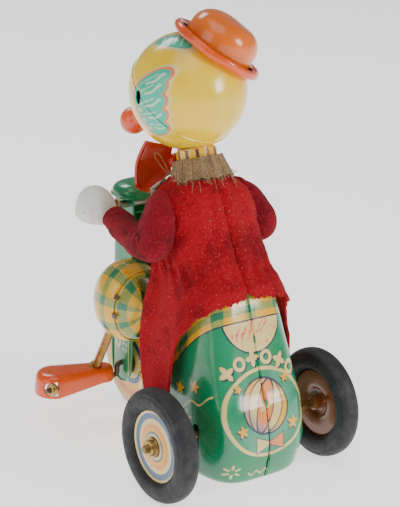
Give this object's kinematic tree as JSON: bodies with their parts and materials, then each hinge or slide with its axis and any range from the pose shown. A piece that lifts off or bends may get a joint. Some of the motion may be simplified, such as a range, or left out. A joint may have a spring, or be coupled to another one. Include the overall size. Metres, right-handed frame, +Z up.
{
  "type": "wind-up tricycle toy",
  "caption": "Tin wind-up tricycle ridden by a round-headed clown in a felt tailcoat and bowler hat, with cranked pedals, hollow thighs and rubber-tyred rear wheels.",
  "frame": {"origin": "on the floor, at the middle of the toy's length and width", "axes": "+Z up; -Y is the way the toy rides; +X is the rider's left"},
  "size_m": [0.086, 0.113, 0.1681],
  "materials": {
    "litho_body": "glossy lithographed tinplate, green with printed ornament",
    "litho_plaid": "glossy lithographed tinplate, yellow and green plaid",
    "green_tin": "glossy green tinplate",
    "plated_steel": "dull plated steel",
    "brass": "tarnished brass",
    "bronzed_steel": "browned steel rod",
    "dark_wire": "dark oxidised wire",
    "tyre_rubber": "matt grey-black moulded rubber",
    "litho_wheel": "glossy lithographed rings",
    "rust_paint": "rust brown lacquer",
    "yellow_tin": "glossy yellow lacquer",
    "orange_tin": "glossy orange lacquer",
    "white_paint": "matt white paint, stained",
    "red_felt": "worn red felt",
    "crimson_felt": "soft crimson felt",
    "tan_gauze": "frayed tan gauze"
  },
  "bodies": {
    "chassis": {"body_left": "litho_body", "body_right": "litho_body", "base_plate": "plated_steel", "motor_plate_left": "plated_steel", "motor_plate_right": "plated_steel", "motor_pillars": "brass", "mainspring": "plated_steel", "fork_left": "green_tin", "fork_right": "green_tin", "column": "green_tin", "cowl": "green_tin", "handlebar": "plated_steel", "backbone": "green_tin", "knee_left": "litho_plaid", "knee_right": "litho_plaid", "thigh_left": "litho_plaid", "thigh_right": "litho_plaid", "neck": "yellow_tin", "coat": "red_felt", "ruff": "tan_gauze", "bow_tie": "orange_tin", "sleeve_left": "crimson_felt", "sleeve_right": "crimson_felt", "hand_left": "white_paint", "hand_right": "white_paint"},
    "key_set": {"winding_key": "plated_steel", "spring_arbor": "plated_steel", "ratchet_wheel": "plated_steel"},
    "great_wheel_set": {"great_wheel": "brass", "click": "plated_steel", "click_spring": "brass"},
    "intermediate_set": {"intermediate_arbor": "plated_steel", "intermediate_wheel": "brass", "intermediate_pinion": "brass"},
    "rear_wheels": {"rear_axle": "bronzed_steel", "axle_pinion": "brass", "tyre_left": "tyre_rubber", "tyre_right": "tyre_rubber", "wheel_cover_left": "litho_wheel", "wheel_cover_right": "litho_wheel", "wheel_back_left": "rust_paint", "wheel_back_right": "rust_paint", "hub_collar_left": "brass", "hub_collar_right": "brass"},
    "front_wheel": {"front_disc_left": "litho_wheel", "front_disc_right": "litho_wheel", "front_tyre": "tyre_rubber", "crank": "dark_wire", "pedal_collar_left": "brass", "pedal_collar_right": "brass"},
    "foot_left": {"shoe_left": "orange_tin", "leg_left": "bronzed_steel"},
    "foot_right": {"shoe_right": "orange_tin", "leg_right": "bronzed_steel"},
    "head": {"head_back": "yellow_tin", "head_front": "yellow_tin", "nose": "orange_tin", "hat": "orange_tin"}
  },
  "joints": [
    {"name": "rear_axle_spin", "type": "hinge", "parent": "chassis", "child": "rear_wheels", "pos_m": [0, 0.0355, 0.021], "axis": [1, 0, 0], "continuous": true},
    {"name": "intermediate_spin", "type": "hinge", "parent": "chassis", "child": "intermediate_set", "pos_m": [0, 0.02142, 0.02399], "axis": [1, 0, 0], "continuous": true},
    {"name": "great_wheel_spin", "type": "hinge", "parent": "chassis", "child": "great_wheel_set", "pos_m": [0, 0.00557, 0.02063], "axis": [1, 0, 0], "continuous": true},
    {"name": "key_wind", "type": "hinge", "parent": "chassis", "child": "key_set", "pos_m": [0, 0.00557, 0.02063], "axis": [1, 0, 0], "continuous": true},
    {"name": "front_wheel_spin", "type": "hinge", "parent": "chassis", "child": "front_wheel", "pos_m": [0, -0.0365, 0.02], "axis": [1, 0, 0], "continuous": true},
    {"name": "foot_left_pin", "type": "hinge", "parent": "front_wheel", "child": "foot_left", "pos_m": [0.025, -0.0365, 0.01525], "axis": [1, 0, 0], "continuous": true},
    {"name": "foot_right_pin", "type": "hinge", "parent": "front_wheel", "child": "foot_right", "pos_m": [-0.025, -0.0365, 0.02475], "axis": [1, 0, 0], "continuous": true},
    {"name": "head_turn", "type": "hinge", "parent": "chassis", "child": "head", "pos_m": [0, 0.00142, 0.11646], "axis": [0, -0.342, 0.9397], "range_deg": [-35, 15]}
  ],
  "couplings": [
    {"joint": "intermediate_spin", "follows": "rear_axle_spin", "ratio": -0.33333},
    {"joint": "great_wheel_spin", "follows": "rear_axle_spin", "ratio": 0.095238},
    {"joint": "foot_left_pin", "follows": "front_wheel_spin", "ratio": -1},
    {"joint": "foot_right_pin", "follows": "front_wheel_spin", "ratio": -1}
  ]
}
